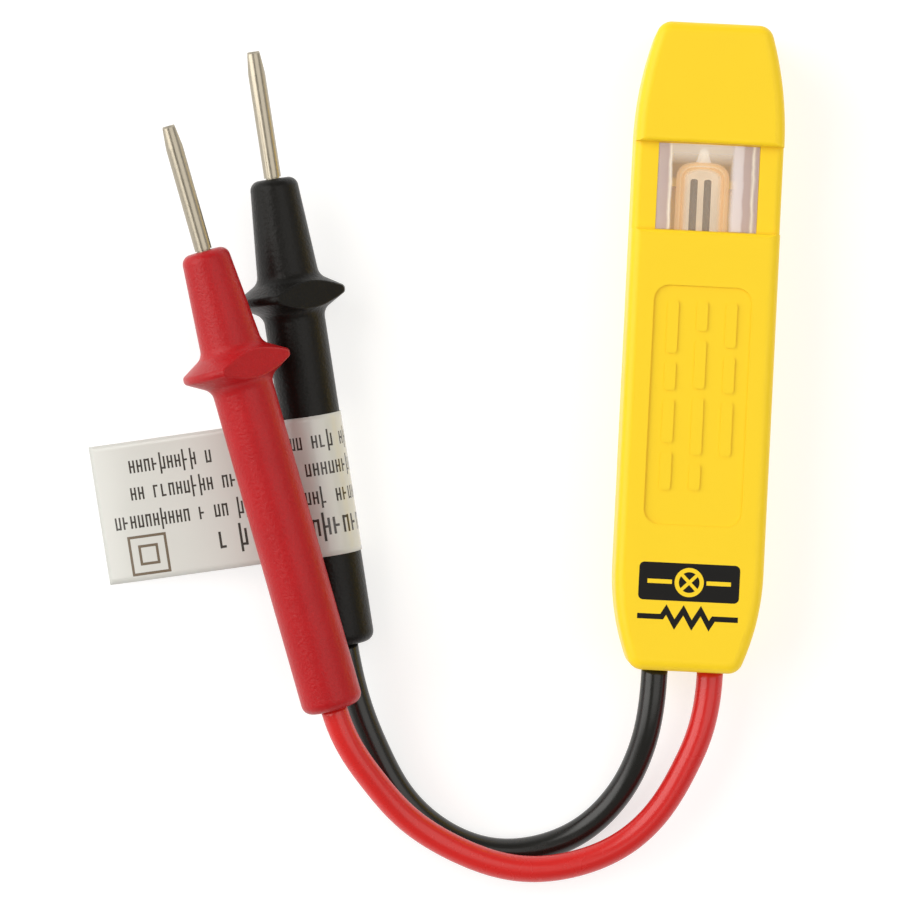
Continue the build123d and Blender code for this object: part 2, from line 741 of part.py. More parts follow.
def free_lead(colour, route, swing):
    """The free lead's two stretches, which meet at the point where it flexes."""
    start, end = Vector(route[FLEX_CORNER]), Vector(route[FLEX_CORNER + 1])
    flex = (start + end) / 2
    # the domed ends stay FLEX_CLEARANCE apart at the widest swing
    setback = (LEAD_DIAMETER + FLEX_CLEARANCE) / 2 / cos(radians(swing / 2))
    step = (end - start).normalized() * setback
    radii = corner_radii(route)
    near = [Vector(point) for point in route[: FLEX_CORNER + 1]] + [flex - step]
    far = [Vector(point) for point in route[: FLEX_CORNER: -1]] + [flex + step]
    print(colour, "flex point", flex)
    housing_side = f"{colour}_lead_housing_side"
    probe_side = f"{colour}_lead_probe_side"
    save(lead_stretch(housing_side, near, radii[:FLEX_CORNER]), housing_side)
    save(lead_stretch(probe_side, far, radii[: FLEX_CORNER - 1: -1]), probe_side)


for colour, place, route, swing, side, splice in (
    ("black", BLACK_PLACE, BLACK_ROUTE, BLACK_SWING, -LEAD_X, BLACK_SPLICE),
    ("red", RED_PLACE, RED_ROUTE, RED_SWING, LEAD_X, RED_SPLICE),
):
    save(probe_handle(place), f"{colour}_probe_handle")
    save(probe_pin(place), f"{colour}_probe_pin")
    save(crimp_barrel(place), f"{colour}_crimp_barrel")
    save(straight_lead(place, INSULATION_IN_HANDLE), f"{colour}_lead_in_handle")
    save(
        bare_strands(place.offset(INSULATION_IN_HANDLE), PIN_BACK - 0.2 - INSULATION_IN_HANDLE),
        f"{colour}_strands_in_handle",
    )
    free_lead(colour, route, swing)
    # inside the housing the insulation ends short of the splice, and the strands go on into it
    towards_splice = Plane(origin=(side, -HOUSING_LENGTH / 2, PARTING), z_dir=(0, 1, 0))
    insulated = splice - 0.3 - BARE_LENGTH + HOUSING_LENGTH / 2
    save(straight_lead(towards_splice, insulated), f"{colour}_lead_in_housing")
    save(
        bare_strands(towards_splice.offset(insulated), BARE_LENGTH),
        f"{colour}_strands_in_housing",
    )

# ------------------------------------------------------------------------ label
with BuildPart() as caution_label:
    wrap_inside = GRIP_RADIUS + 0.02
    with BuildSketch(BLACK_PLACE.offset(LABEL_START)):
        Circle(wrap_inside + LABEL_WRAP)
        with BuildLine():
            ThreePointArc(
                (wrap_inside + LABEL_WRAP / 2, 0),
                ((LABEL_REACH + wrap_inside) / 2, -LABEL_DROOP * 0.3),
                (LABEL_REACH, -LABEL_DROOP),
            )
        trace(line_width=LABEL_FLAG)
        Circle(wrap_inside, mode=Mode.SUBTRACT)
    extrude(amount=LABEL_HEIGHT)
save(caution_label.part, "caution_label")
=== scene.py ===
from math import cos, pi, radians, sin

import bmesh
import bpy
from mathutils import Matrix, Vector


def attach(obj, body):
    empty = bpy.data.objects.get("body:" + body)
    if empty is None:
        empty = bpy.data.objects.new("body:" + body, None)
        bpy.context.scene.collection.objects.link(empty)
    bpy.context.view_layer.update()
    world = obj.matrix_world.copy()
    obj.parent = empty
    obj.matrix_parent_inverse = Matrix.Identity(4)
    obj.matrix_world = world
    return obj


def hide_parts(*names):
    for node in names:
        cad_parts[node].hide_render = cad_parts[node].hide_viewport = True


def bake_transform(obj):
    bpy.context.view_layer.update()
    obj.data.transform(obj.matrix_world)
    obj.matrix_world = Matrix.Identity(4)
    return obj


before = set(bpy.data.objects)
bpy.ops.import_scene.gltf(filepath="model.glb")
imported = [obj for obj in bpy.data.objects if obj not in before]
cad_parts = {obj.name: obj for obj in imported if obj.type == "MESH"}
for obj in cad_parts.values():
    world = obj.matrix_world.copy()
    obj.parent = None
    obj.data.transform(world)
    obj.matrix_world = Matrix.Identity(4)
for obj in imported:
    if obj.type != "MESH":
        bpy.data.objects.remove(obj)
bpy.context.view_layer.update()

bl_info = {
    "name": "Circuit test light",
    "version": (1, 0, 0),
    "blender": (4, 5, 0),
    "location": "View3D > Sidebar > Tester",
    "description": "Finishes, leads, label and stage for a two-probe neon circuit tester",
    "category": "Object",
}

MM = 0.001
COLOURS = ("black", "red")


def probe_axes(rear, heading, climb):
    """A probe's rear end and its directions: along to the tip, left, and up."""
    turn, rise = radians(heading), radians(climb)
    along = Vector((-sin(turn) * cos(rise), cos(turn) * cos(rise), sin(rise)))
    left = Vector((-cos(turn), -sin(turn), 0))
    return {"rear": Vector(rear), "along": along, "left": left, "up": along.cross(left)}


PROBES = {
    "black": probe_axes((-39.7, -36.7, 3.66), 11.5, 3.7),
    "red": probe_axes((-40.5, -44.0, 10.0), 18.5, 4.6),
}
# The object's fixed places, in millimetres.
GRIP_RADIUS = 3.575
HOUSING_FACE = 12.6    # the front's height above the back
HOUSING_END = -37.7    # Y of the end wall that the leads leave
LEAD_X = 3.25          # each lead's distance from the housing's middle
PARTING = 6.3          # height of the split between the two shells
LAMP_TOP = 21.7        # Y where the lamp's glass ends and its sealed tip starts
FLOOR_DROP = 0.02      # keeps the floor clear of the housing's back
INK_DEPTH = 0.012      # thickness of the printed mark


def behind(colour, distance):
    """The point straight behind a probe's rear end, in millimetres."""
    return PROBES[colour]["rear"] - PROBES[colour]["along"] * distance


# The leads' routes in millimetres, from the housing's end wall to the handle.
ROUTES = {
    "black": [
        (-LEAD_X, HOUSING_END, PARTING),
        (-LEAD_X, -42.8, PARTING),
        (-4.3, -48.5, 4.7),
        (-7.1, -54.1, 2.6),
        (-11.9, -58.8, 1.7),
        (-20.0, -61.1, 1.7),
        (-27.0, -59.0, 1.7),
        (-32.2, -54.8, 1.75),
        (-35.3, -49.4, 2.3),
        behind("black", 6.0),
        PROBES["black"]["rear"],
    ],
    "red": [
        (LEAD_X, HOUSING_END, PARTING),
        (LEAD_X, -43.2, PARTING),
        (1.1, -49.0, 5.9),
        (-2.1, -55.4, 5.3),
        (-7.7, -60.3, 5.1),
        (-17.1, -62.8, 5.1),
        (-25.1, -60.5, 5.1),
        (-31.5, -57.0, 6.1),
        (-35.7, -52.2, 8.1),
        behind("red", 3.9),
        PROBES["red"]["rear"],
    ],
}


# ---------------------------------------------------------------- settings


def colour_setting(name, description, default):
    return bpy.props.FloatVectorProperty(
        name=name,
        description=description,
        subtype="COLOR",
        size=3,
        min=0,
        max=1,
        default=default,
    )


def length_setting(name, description, default_mm):
    return bpy.props.FloatProperty(
        name=name,
        description=description,
        subtype="DISTANCE",
        unit="LENGTH",
        precision=5,
        default=default_mm * MM,
    )


class TesterColours(bpy.types.PropertyGroup):
    housing: colour_setting("Housing", "Yellow moulded plastic", (0.965, 0.66, 0.014))
    ink: colour_setting("Ink", "Printed mark on the housing", (0.004, 0.0035, 0.003))
    black_handle: colour_setting("Black handle", "Black probe's grip", (0.006, 0.0055, 0.0045))
    red_handle: colour_setting("Red handle", "Red probe's grip", (0.43, 0.007, 0.010))
    black_lead: colour_setting("Black lead", "Black insulation", (0.006, 0.006, 0.005))
    red_lead: colour_setting("Red lead", "Red insulation", (0.62, 0.014, 0.012))
    nickel: colour_setting("Nickel", "Plated probe pins", (0.40, 0.36, 0.285))
    label: colour_setting("Label", "White sticker film", (0.655, 0.66, 0.625))
    label_ink: colour_setting("Label ink", "Dark print on the label", (0.055, 0.048, 0.042))
    label_symbol: colour_setting("Label symbol", "Double square", (0.17, 0.13, 0.09))
    lens: colour_setting("Lens", "Clear plastic window", (0.90, 0.85, 0.78))
    # Painted shade: the lens's side walls as seen through its top
    lens_wall_shade: colour_setting("Lens walls", "Side walls seen edge on", (0.50, 0.41, 0.40))
    bulb: colour_setting("Bulb", "Amber-tinted lamp glass", (1.0, 0.53, 0.10))
    # Painted light: pale glass that brightens the bulb behind the rods and at its tip
    pale_glow: colour_setting("Milky glass", "Pale glass behind the rods", (0.86, 0.78, 0.64))
    electrode: colour_setting("Electrodes", "Sleeved rods", (0.03, 0.022, 0.014))


class TesterSizes(bpy.types.PropertyGroup):
    lead_diameter: length_setting("Lead diameter", "Outside of the insulation", 3.1)
    label_start: length_setting("Label start", "From the handle's rear end", 10.8)
    label_height: length_setting("Label height", "Width of the strip along the handle", 16.5)
    label_reach: length_setting("Label reach", "Free edge from the handle's axis", 26.4)
    label_droop: length_setting("Label droop", "How far the free edge hangs", 3.2)
    label_film: length_setting("Label film", "Thickness of one layer", 0.12)
    mark_width: length_setting("Mark width", "Printed mark on the front", 11.7)
    mark_height: length_setting("Mark height", "Printed mark on the front", 7.4)
    mark_centre: length_setting("Mark place", "Centre of the mark along the front", -28.8)


class StageSettings(bpy.types.PropertyGroup):
    view_x: length_setting("View X", "Point the camera looks at", -28.45)
    view_y: length_setting("View Y", "Point the camera looks at", -13.3)
    view_width: length_setting("View width", "Width that the camera takes in", 104.35)
    view_plane: length_setting("View plane", "Height at which that width holds", 12.6)
    view_turn: bpy.props.FloatProperty(
        name="View turn",
        description="Turn of the camera about its line of sight",
        subtype="ANGLE",
        unit="ROTATION",
        default=radians(2.8),
    )
    lens: bpy.props.FloatProperty(
        name="Lens", description="Focal length", subtype="DISTANCE_CAMERA", default=200.0
    )
    left_power: bpy.props.FloatProperty(
        name="Left light", description="Softbox on the left", unit="POWER", default=14.8
    )
    right_power: bpy.props.FloatProperty(
        name="Right light", description="Softbox on the right", unit="POWER", default=6.6
    )
    floor: colour_setting("Floor", "Pale table", (0.52, 0.52, 0.52))


def colours():
    return bpy.context.scene.tester_colours


def sizes():
    return bpy.context.scene.tester_sizes


# ---------------------------------------------------------------- materials


class Finish:
    """A material under construction, with short calls for its nodes."""

    def __init__(self, name, **values):
        self.material = bpy.data.materials.new(name)
        self.material.use_nodes = True
        self.tree = self.material.node_tree
        self.shader = self.tree.nodes["Principled BSDF"]
        for socket, value in values.items():
            self.shader.inputs[socket.replace("_", " ")].default_value = value

    def node(self, kind, settings=None, **values):
        made = self.tree.nodes.new("ShaderNode" + kind)
        for key, value in (settings or {}).items():
            setattr(made, key, value)
        for socket, value in values.items():
            self.put(made.inputs[socket.replace("_", " ")], value)
        return made

    def put(self, socket, value):
        if isinstance(value, bpy.types.NodeSocket):
            self.tree.links.new(value, socket)
        else:
            socket.default_value = value

    def math(self, operation, *values):
        made = self.node("Math", {"operation": operation})
        for socket, value in zip(made.inputs, values):
            self.put(socket, value)
        return made.outputs[0]

    def place(self, stretch=(1, 1, 1), space="Object"):
        """Coordinates in millimetres, stretched by the given factors. The UV maps made
        here are already in millimetres."""
        source = self.node("TexCoord").outputs[space]
        unit = 1 / MM if space == "Object" else 1
        scale = [factor * unit for factor in stretch]
        return self.node("Mapping", Vector=source, Scale=scale).outputs["Vector"]

    def noise(self, where, scale, detail=2.0, roughness=0.5):
        return self.node(
            "TexNoise", Vector=where, Scale=scale, Detail=detail, Roughness=roughness
        ).outputs["Fac"]

    def spread(self, value, low, high):
        """A 0 to 1 texture mapped to the range low to high."""
        return self.node("MapRange", Value=value, To_Min=low, To_Max=high).outputs[0]

    def mix(self, factor, first, second):
        made = self.node("Mix", {"data_type": "RGBA"})
        for index, value in ((0, factor), (6, first), (7, second)):
            self.put(made.inputs[index], value)
        return made.outputs[2]

    def bump(self, height, depth):
        """Relief from a 0 to 1 height, depth in millimetres."""
        made = self.node("Bump", Height=height, Distance=depth * MM, Strength=1.0)
        self.put(self.shader.inputs["Normal"], made.outputs["Normal"])

    def set(self, socket, value):
        self.put(self.shader.inputs[socket], value)


def shade(colour, factor):
    """A colour as RGBA, made lighter or darker by a factor."""
    return (*(min(1.0, channel * factor) for channel in colour), 1.0)


def paint(node, finish):
    """Gives a carried-over piece its finish, in place of the material it came with."""
    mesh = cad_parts[node].data
    mesh.materials.clear()
    mesh.materials.append(finish.material)


def moulded_plastic(name, colour, roughness, grain, grain_depth, mottle=0.04, gloss=0.4):
    """Moulded plastic: faint cloudy colour, a fine sparked grain and uneven sheen."""
    finish = Finish(name, Specular_IOR_Level=gloss)
    where = finish.place()
    specks = finish.noise(where, grain, 3, 0.6)
    summed = finish.math("ADD", finish.noise(where, 0.18, 3), specks)
    cloud = finish.math("MULTIPLY", summed, 0.5)
    finish.set(
        "Base Color", finish.mix(cloud, shade(colour, 1 - mottle), shade(colour, 1 + mottle))
    )
    smear = finish.noise(where, 0.6, 2)
    finish.set("Roughness", finish.spread(smear, roughness - 0.05, roughness + 0.05))
    finish.bump(specks, grain_depth)
    return finish


def lead_insulation(name, colour):
    """Extruded PVC: glossy, with faint draw lines along the lead and soft scuffs."""
    finish = Finish(name, Specular_IOR_Level=0.5)
    drawn = finish.place((0.06, 9.0, 1.0), "UV")
    lines = finish.noise(drawn, 1.0, 3)
    where = finish.place()
    scuff = finish.noise(where, 0.5, 4)
    finish.set("Base Color", finish.mix(lines, shade(colour, 0.93), shade(colour, 1.07)))
    finish.set("Roughness", finish.spread(scuff, 0.2, 0.33))
    finish.bump(lines, 0.012)
    return finish


def bare_metal(name, colour, roughness, along, streak=6.0):
    """Metal with fine marks drawn along one direction."""
    finish = Finish(name, Metallic=1.0)
    where = finish.place(along)
    marks = finish.noise(where, streak, 3, 0.6)
    finish.set("Base Color", finish.mix(marks, shade(colour, 0.9), shade(colour, 1.08)))
    finish.set("Roughness", finish.spread(marks, roughness - 0.04, roughness + 0.08))
    finish.bump(marks, 0.004)
    return finish


def clear_lens():
    """Clear moulded plastic: faint haze in the middle. The side walls and their seams are painted
    onto the top:
    the walls and a mauve band as painted shade and light, the seams as painted highlights. The haze
    turns paler towards the lamp's tip and the lens glows, which is painted light."""
    clear, wall = tuple(colours().lens), tuple(colours().lens_wall_shade)
    seam_highlight, painted_mauve_band = (0.90, 0.84, 0.72), (0.84, 0.80, 0.83)
    half = 6.0
    haze_starts, haze_full = 20.6, 22.6
    # X in millimetres, colour and haze; the wall and mauve colours are painted shade and light for
    # the side walls, the seam colour a painted highlight
    stops = (
        (-5.6, wall, 0.55),
        (-4.7, wall, 0.5),
        (-4.4, seam_highlight, 0.5),
        (-4.15, clear, 0.09),
        (2.5, clear, 0.09),
        (3.0, painted_mauve_band, 0.4),
        (3.9, painted_mauve_band, 0.4),
        (4.15, wall, 0.5),
        (4.95, wall, 0.5),
        (5.2, seam_highlight, 0.6),
        (5.5, wall, 0.55),
    )
    lens = Finish("clear_moulded_lens", IOR=1.49)
    where = lens.place()
    flow = lens.noise(where, 0.5, 3)
    split = lens.node("SeparateXYZ", Vector=where)
    drift = lens.math("ADD", split.outputs[0], lens.spread(flow, -0.2, 0.2))
    across = lens.node("MapRange", Value=drift, From_Min=-half, From_Max=half)
    ramp = lens.node("ValToRGB", Fac=across.outputs[0])
    elements = ramp.color_ramp.elements
    elements.remove(elements[0])
    for index, (x, colour, haze) in enumerate(stops):
        place = (x + half) / (2 * half)
        stop = elements.new(place) if index else elements[0]
        stop.position = place
        stop.color = (*colour, haze)
    # Paler haze towards the lamp's tip: painted light
    end = lens.node(
        "MapRange", Value=split.outputs[1], From_Min=haze_starts, From_Max=haze_full, To_Max=0.3
    )
    lens.set("Base Color", ramp.outputs["Color"])
    lens.set("Alpha", lens.math("MAXIMUM", ramp.outputs["Alpha"], end.outputs[0]))
    # The lens glows in its own colour: painted light, as the lens is no lamp
    lens.set("Emission Color", ramp.outputs["Color"])
    lens.set("Emission Strength", 0.3)
    lens.set("Roughness", lens.spread(flow, 0.08, 0.18))
    lens.bump(flow, 0.01)
    return lens


def lamp_glass():
    """Lamp glass: clear above with amber edges. Its lower half and its sealed tip are pale, and the
    glass glows: painted light behind the rods and a painted highlight on the tip.
    """
    # The glass glows in its own colour: painted light, as the bulb is not lit
    bulb = Finish("amber_lamp_glass", IOR=1.5, Roughness=0.08, Emission_Strength=0.3)
    where = bulb.place()
    split = bulb.node("SeparateXYZ", Vector=where)
    facing = bulb.node("LayerWeight", Blend=0.5).outputs["Facing"]
    edge = bulb.node(
        "MapRange", Value=facing, From_Min=0.25, From_Max=0.55, To_Min=0.05, To_Max=0.8
    )
    # The sealed tip is pale glass: a painted highlight
    tip = bulb.math("GREATER_THAN", split.outputs[1], LAMP_TOP + 0.1)
    # Below the rods the glass is pale: painted light behind the rods
    below = bulb.math("LESS_THAN", split.outputs[2], PARTING - 0.4)
    pale_glow = bulb.math("MAXIMUM", tip, below)
    drawn = bulb.noise(where, 0.5, 2)
    amber = bulb.mix(drawn, shade(colours().bulb, 0.85), shade(colours().bulb, 1.05))
    pale = bulb.mix(drawn, shade(colours().pale_glow, 0.9), shade(colours().pale_glow, 1.05))
    skin = bulb.mix(pale_glow, amber, pale)
    bulb.set("Base Color", skin)
    bulb.set("Emission Color", skin)
    bulb.set("Alpha", bulb.math("MAXIMUM", edge.outputs[0], bulb.math("MULTIPLY", pale_glow, 0.85)))
    return bulb


def greeked_row(film, along, across, start, middle, height, row):
    """A row of made-up letter shapes: one where there is ink, nothing legible. Each
    letter has a left stem, and may have a right stem and a bridge between the two."""
    pitch, stroke = height * 0.62, height * 0.075
    left_stem, right_stem = pitch * 0.22, pitch * 0.72
    ascender, bridge_shift = height * 0.35, height * 0.41
    shifted = film.math("SUBTRACT", along, start)
    cell = film.math("DIVIDE", shifted, pitch)
    letter = film.math("FLOOR", cell)
    x = film.math("MULTIPLY", film.math("FRACT", cell), pitch)
    y = film.math("SUBTRACT", across, middle)

    def chance(seed):
        place = film.node("CombineXYZ", X=letter, Y=row * 7.0 + 0.5, Z=seed * 3.0 + 0.5)
        return film.node("TexWhiteNoise", Vector=place.outputs[0]).outputs["Value"]

    def both(*masks):
        made = masks[0]
        for mask in masks[1:]:
            made = film.math("MULTIPLY", made, mask)
        return made

    level = film.math("ABSOLUTE", y)
    short = film.math("LESS_THAN", level, height / 2)
    rising = film.math("MULTIPLY", film.math("GREATER_THAN", chance(0), 0.72), ascender)
    tall = film.math("LESS_THAN", level, film.math("ADD", rising, height / 2))
    first = both(tall, film.math("COMPARE", x, left_stem, stroke))
    second = both(
        short,
        film.math("COMPARE", x, right_stem, stroke),
        film.math("GREATER_THAN", chance(1), 0.3),
    )
    within = both(
        film.math("GREATER_THAN", x, left_stem),
        film.math("LESS_THAN", x, right_stem),
    )
    # the bridge sits at the foot, the middle or the head of the letter
    step = film.math("ROUND", film.math("MULTIPLY", chance(2), 2.0))
    bridge_middle = film.math("MULTIPLY", film.math("SUBTRACT", step, 1.0), bridge_shift)
    off_bridge = film.math("ABSOLUTE", film.math("SUBTRACT", y, bridge_middle))
    bridge = both(within, film.math("LESS_THAN", off_bridge, stroke))
    ink = film.math("MAXIMUM", film.math("MAXIMUM", first, second), bridge)
    started = film.math("GREATER_THAN", shifted, 0.0)
    printed = film.math("LESS_THAN", chance(3), 0.8)
    return both(ink, started, printed)


def label_film():
    """White glossy film with rows of illegible dark marks and a double-square symbol.

    The print's U runs from the flag's free edge towards the handle, V along the handle.
    """
    film = Finish("white_label_film", Specular_IOR_Level=0.5)
    split = film.node("SeparateXYZ", Vector=film.place(space="UV"))
    along, across = split.outputs[0], split.outputs[1]
    # each row's start along the flag, middle across it and letter height
    rows = ((13.8, 3.5, 2.0), (1.7, 7.0, 1.5), (4.1, 10.3, 1.5), (4.4, 13.5, 1.5))
    symbol_along, symbol_across = 5.3, 3.0
    outer_half, inner_half, line_half = 2.2, 1.05, 0.16
    text = 0.0
    for number, (start, middle, height) in enumerate(rows):
        row = greeked_row(film, along, across, start, middle, height, number)
        text = film.math("MAXIMUM", text, row)
    x = film.math("ABSOLUTE", film.math("SUBTRACT", along, symbol_along))
    y = film.math("ABSOLUTE", film.math("SUBTRACT", across, symbol_across))
    square = film.math("MAXIMUM", x, y)
    squares = film.math(
        "ADD",
        film.math("COMPARE", square, outer_half, line_half),
        film.math("COMPARE", square, inner_half, line_half),
    )
    cloud = film.noise(film.place((0.4, 0.4, 0.4)), 0.3, 1)
    paper = film.mix(cloud, shade(colours().label, 0.97), shade(colours().label, 1.03))
    printed = film.mix(text, paper, (*colours().label_ink, 1))
    film.set("Base Color", film.mix(squares, printed, (*colours().label_symbol, 1)))
    film.set("Roughness", film.spread(cloud, 0.13, 0.19))
    return film


# ---------------------------------------------------------------- meshes


def new_piece(name, mesh):
    piece = bpy.data.objects.new(name, mesh)
    bpy.context.scene.collection.objects.link(piece)
    return piece


def route_line(points, detail=16):
    """Points along the smooth line that has the route's points as its control points."""
    curve = bpy.data.curves.new("route", "CURVE")
    curve.dimensions = "3D"
    spline = curve.splines.new("NURBS")
    spline.points.add(len(points) - 1)
    for control, point in zip(spline.points, points):
        control.co = (*(Vector(point) * MM), 1)
    spline.order_u = 4
    spline.use_endpoint_u = True
    spline.resolution_u = detail
    holder = bpy.data.objects.new("route", curve)
    mesh = bpy.data.meshes.new_from_object(holder)
    line = [vertex.co.copy() for vertex in mesh.vertices]
    bpy.data.objects.remove(holder)
    bpy.data.curves.remove(curve)
    bpy.data.meshes.remove(mesh)
    return line


def tube(name, line, radius, sides=40):
    """A round tube along a line, closed at both ends, with U along it in millimetres."""
    form = bmesh.new()
    wrap = form.loops.layers.uv.new("UVMap")
    rings, travelled, lengths = [], 0.0, []
    across = None
    for index, point in enumerate(line):
        before, after = line[max(index - 1, 0)], line[min(index + 1, len(line) - 1)]
        heading = (after - before).normalized()
        if across is None:
            across = heading.orthogonal().normalized()
        across = (across - heading * across.dot(heading)).normalized()
        over = heading.cross(across)
        travelled += (point - before).length
        lengths.append(travelled / MM)
        angles = [2 * pi * step / sides for step in range(sides)]
        rings.append(
            [form.verts.new(point + (across * cos(a) + over * sin(a)) * radius) for a in angles]
        )
    for index in range(len(rings) - 1):
        for step in range(sides):
            following = (step + 1) % sides
            corners = (
                (index, step, step),
                (index, following, step + 1),
                (index + 1, following, step + 1),
                (index + 1, step, step),
            )
            face = form.faces.new([rings[ring][place] for ring, place, _ in corners])
            face.smooth = True
            for loop, (ring, _, turn) in zip(face.loops, corners):
                loop[wrap].uv = (lengths[ring], turn / sides)
    form.faces.new(rings[0][::-1])
    form.faces.new(rings[-1])
    bmesh.ops.recalc_face_normals(form, faces=form.faces)
    mesh = bpy.data.meshes.new(name)
    form.to_mesh(mesh)
    form.free()
    return new_piece(name, mesh)


def printed_shape(name, outlines, place):
    """A thin film of ink from closed outlines in millimetres; one inside another is a hole."""
    curve = bpy.data.curves.new(name, "CURVE")
    curve.dimensions = "2D"
    curve.fill_mode = "BOTH"
    curve.extrude = INK_DEPTH * MM / 2
    for outline in outlines:
        spline = curve.splines.new("POLY")
        spline.points.add(len(outline) - 1)
        for control, (x, y) in zip(spline.points, outline):
            control.co = (x * MM, y * MM, 0, 1)
        spline.use_cyclic_u = True
    holder = bpy.data.objects.new(name, curve)
    mesh = bpy.data.meshes.new_from_object(holder)
    bpy.data.objects.remove(holder)
    mesh.transform(Matrix.Translation(place))
    return new_piece(name, mesh)


def ring_outline(radius, x=0.0, y=0.0, count=64):
    angles = [2 * pi * step / count for step in range(count)]
    return [(x + radius * cos(a), y + radius * sin(a)) for a in angles]


def bar_outline(start, end, width):
    """A straight bar between two points."""
    first, last = Vector(start), Vector(end)
    side = (last - first).orthogonal().normalized() * width / 2
    return [tuple(p) for p in (first + side, first - side, last - side, last + side)]


def rounded_outline(half_width, half_height, radius, middle):
    """A rectangle with round corners about (0, middle)."""
    steps = 8
    points = []
    for turn, (x, y) in enumerate(((1, 1), (-1, 1), (-1, -1), (1, -1))):
        for step in range(steps + 1):
            a = pi / 2 * (turn + step / steps)
            points.append(
                (
                    x * (half_width - radius) + radius * cos(a),
                    middle + y * (half_height - radius) + radius * sin(a),
                )
            )
    return points


def sector_outline(radius, quarter, gap, middle):
    """One of the four pieces that a diagonal cross of the given width leaves in a disc."""
    centre = pi / 2 * quarter
    inset = gap / 2 * 2**0.5
    spread = pi / 4 - gap / 2 / radius
    steps = 12
    points = [(inset * cos(centre), middle + inset * sin(centre))]
    for step in range(steps + 1):
        a = centre - spread + 2 * spread * step / steps
        points.append((radius * cos(a), middle + radius * sin(a)))
    return points


def zigzag_outline(half_width, middle, swing, width):
    """A resistor symbol: a line that turns six times in its middle."""
    reach, turns = 3.0, 6
    spine = [(-half_width, 0.0), (-reach, 0.0)]
    spine += [(-reach + (step + 0.5) * reach / 3, swing * (-1) ** step) for step in range(turns)]
    spine += [(reach, 0.0), (half_width, 0.0)]
    upper, lower = [], []
    for index, point in enumerate(spine):
        here = Vector(point)
        before = (here - Vector(spine[max(index - 1, 0)])).normalized()
        after = (Vector(spine[min(index + 1, len(spine) - 1)]) - here).normalized()
        normal = Vector((-(before + after).y, (before + after).x)).normalized()
        square = Vector((-after.y, after.x)) if after.length else Vector((-before.y, before.x))
        sharpest = 0.4
        offset = normal * width / 2 / max(sharpest, normal.dot(square))
        upper.append((here.x + offset.x, middle + here.y + offset.y))
        lower.append((here.x - offset.x, middle + here.y - offset.y))
    return upper + lower[::-1]


def label_profile():
    """The strip's middle line across the handle: in along the flag's top layer, round
    the grip and back along the bottom layer, as (left, up) pairs in metres."""
    film = sizes().label_film
    glue = 0.02 * MM
    wrap = GRIP_RADIUS * MM + glue + film / 2
    reach, droop = sizes().label_reach, sizes().label_droop
    gap = film * 0.55             # half the distance between the flag's two layers
    lift = 50                     # degrees from the flag to where the film meets the grip
    meet = wrap * 1.35            # where the two layers come together
    ripple = 0.14 * MM

    def flag(share):
        x = meet + (reach - meet) * share
        wave = ripple * sin(2.4 * pi * share) * (1 - share / 2)
        return x, wave - droop * (0.25 * share + 0.75 * share**2)

    count = 40
    top = [flag(1 - step / count) for step in range(count)]
    upper = [(x, y + gap) for x, y in top]
    lower = [(x, y - gap) for x, y in reversed(top)]
    turns = 64
    angles = [radians(lift + (360 - 2 * lift) * step / turns) for step in range(turns + 1)]
    around = [(wrap * cos(a), wrap * sin(a)) for a in angles]
    return upper + around + lower


def label_strip():
    """The bonded strip as a thin closed sheet, with U along it and V across in millimetres."""
    line = label_profile()
    probe = PROBES["black"]
    origin = probe["rear"] * MM + probe["along"] * sizes().label_start
    rows = 24
    height = sizes().label_height
    form = bmesh.new()
    wrap = form.loops.layers.uv.new("UVMap")
    lengths = [0.0]
    for first, second in zip(line, line[1:]):
        lengths.append(lengths[-1] + (Vector(second) - Vector(first)).length)
    grid = []
    for left, up in line:
        base = origin + probe["left"] * left + probe["up"] * up
        grid.append(
            [form.verts.new(base + probe["along"] * height * row / rows) for row in range(rows + 1)]
        )
    for index in range(len(grid) - 1):
        for row in range(rows):
            corners = ((index, row), (index + 1, row), (index + 1, row + 1), (index, row + 1))
            face = form.faces.new([grid[i][j] for i, j in corners])
            face.smooth = True
            for loop, (i, j) in zip(face.loops, corners):
                loop[wrap].uv = (lengths[i] / MM, height / MM * j / rows)
    mesh = bpy.data.meshes.new("caution_label_strip")
    form.to_mesh(mesh)
    form.free()
    label = new_piece("caution_label_strip", mesh)
    solid = label.modifiers.new("film", "SOLIDIFY")
    solid.thickness = sizes().label_film
    solid.offset = 0
    solid.use_even_offset = True
    return label, (height, lengths[-1])


# ---------------------------------------------------------------- operators


class TESTER_OT_housing(bpy.types.Operator):
    """Finish the two housing shells in yellow satin plastic"""

    bl_idname = "tester.housing"
    bl_label = "Housing"

    def execute(self, context):
        finish = moulded_plastic(
            "yellow_satin_plastic",
            colours().housing,
            roughness=0.4,
            grain=7.0,
            grain_depth=0.006,
            mottle=0.02,
            gloss=0.28,
        )
        for node in ("housing_front", "housing_back"):
            paint(node, finish)
        return {"FINISHED"}


